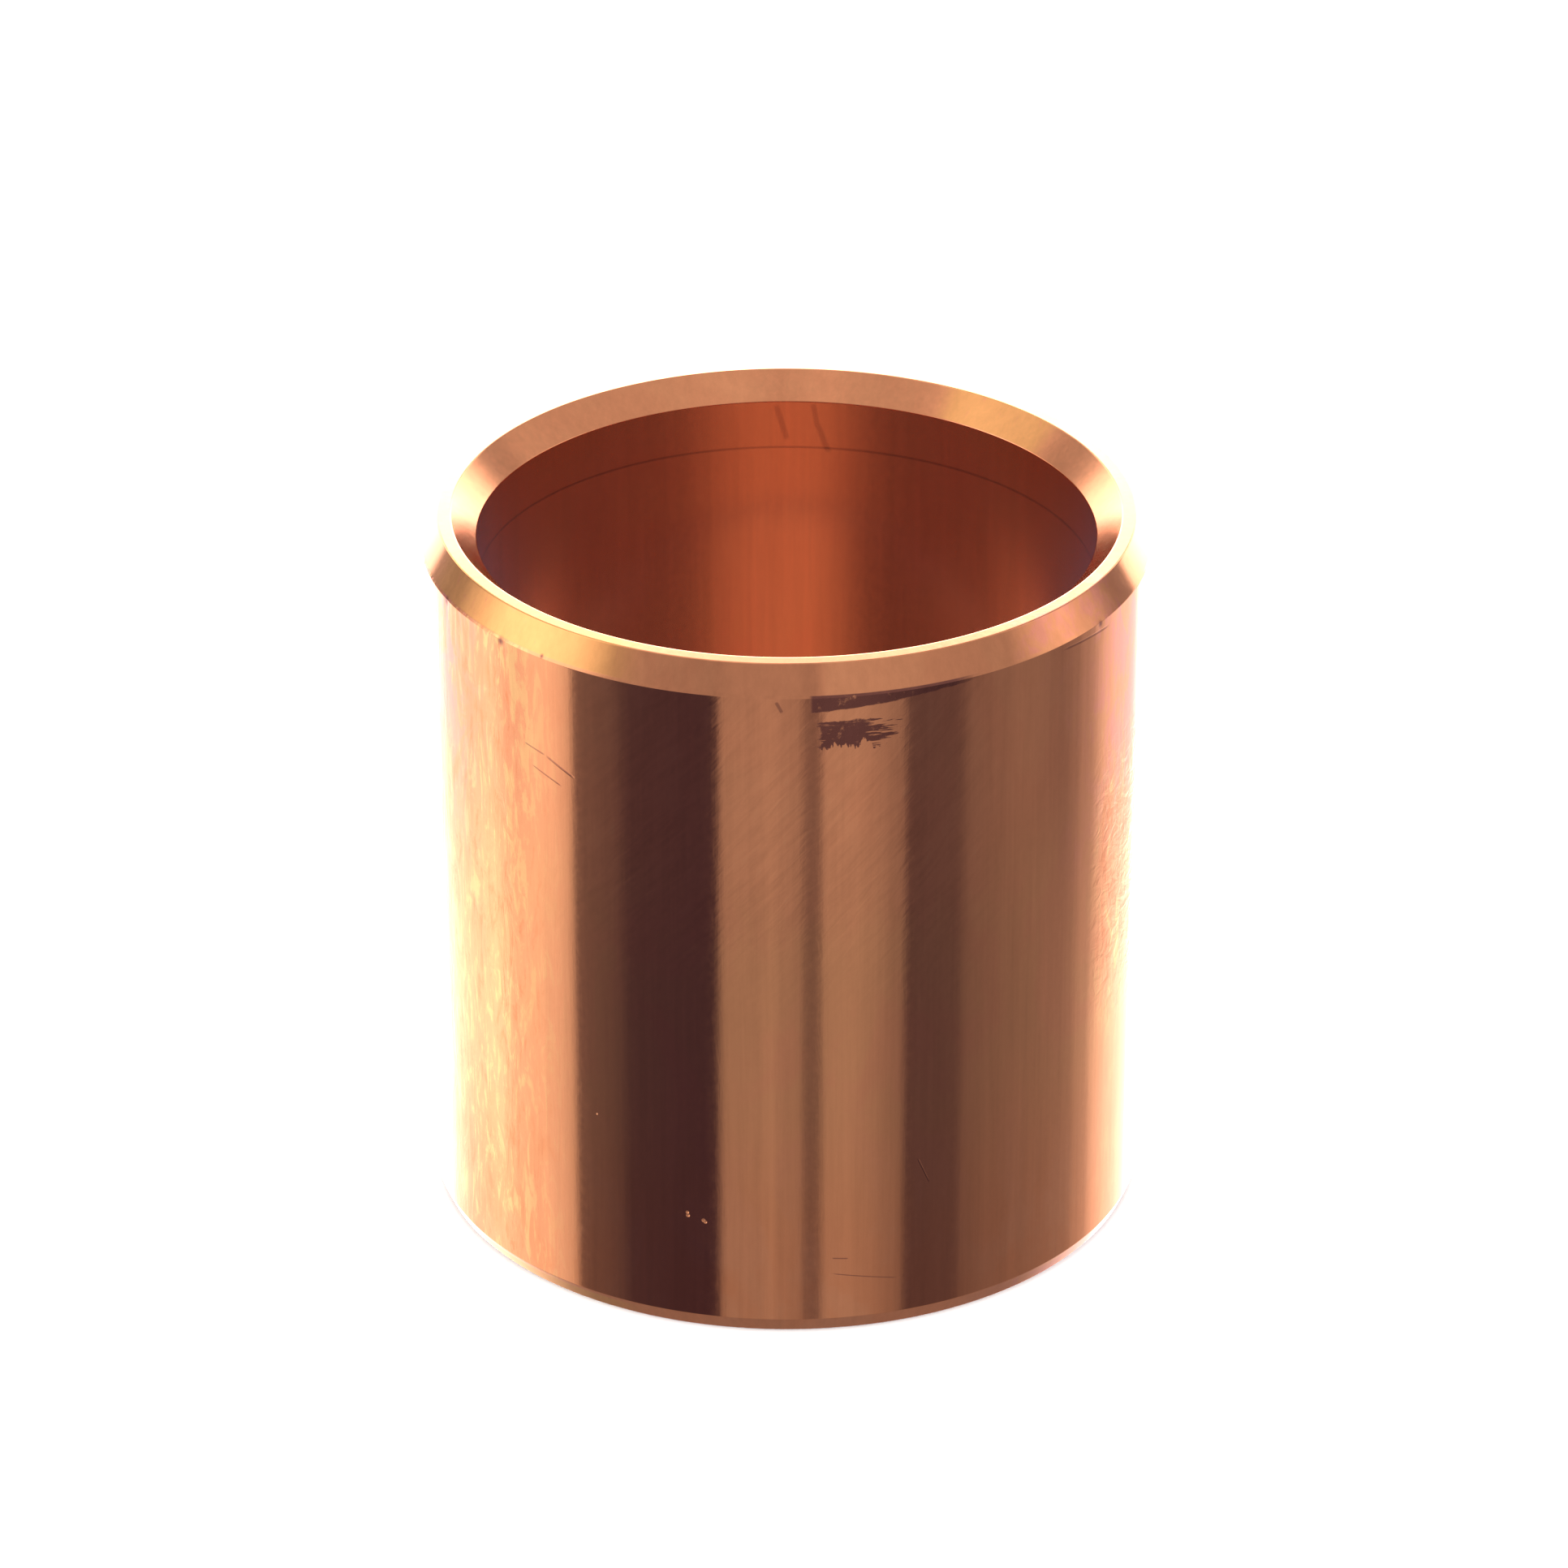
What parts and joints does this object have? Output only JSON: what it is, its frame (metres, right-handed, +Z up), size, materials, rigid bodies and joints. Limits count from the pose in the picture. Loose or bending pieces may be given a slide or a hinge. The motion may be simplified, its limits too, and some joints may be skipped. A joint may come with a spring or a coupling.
{
  "type": "sleeve bushing",
  "caption": "Plain cylindrical bronze sleeve bushing: a thin-walled turned ring, chamfered at both ends, pressed into a housing to carry a pin or shaft.",
  "frame": {"origin": "on the axis, in the plane of the lower end face", "axes": "+Z up the axis, towards the end with the large chamfers; +X and +Y are equal, because the sleeve is round"},
  "size_m": [0.042, 0.042, 0.0425],
  "materials": {
    "bronze": "turned and ground bright bronze, polished in the bore, with fine circumferential machining marks"
  },
  "bodies": {
    "root": {"bushing_sleeve": "bronze"}
  },
  "joints": []
}
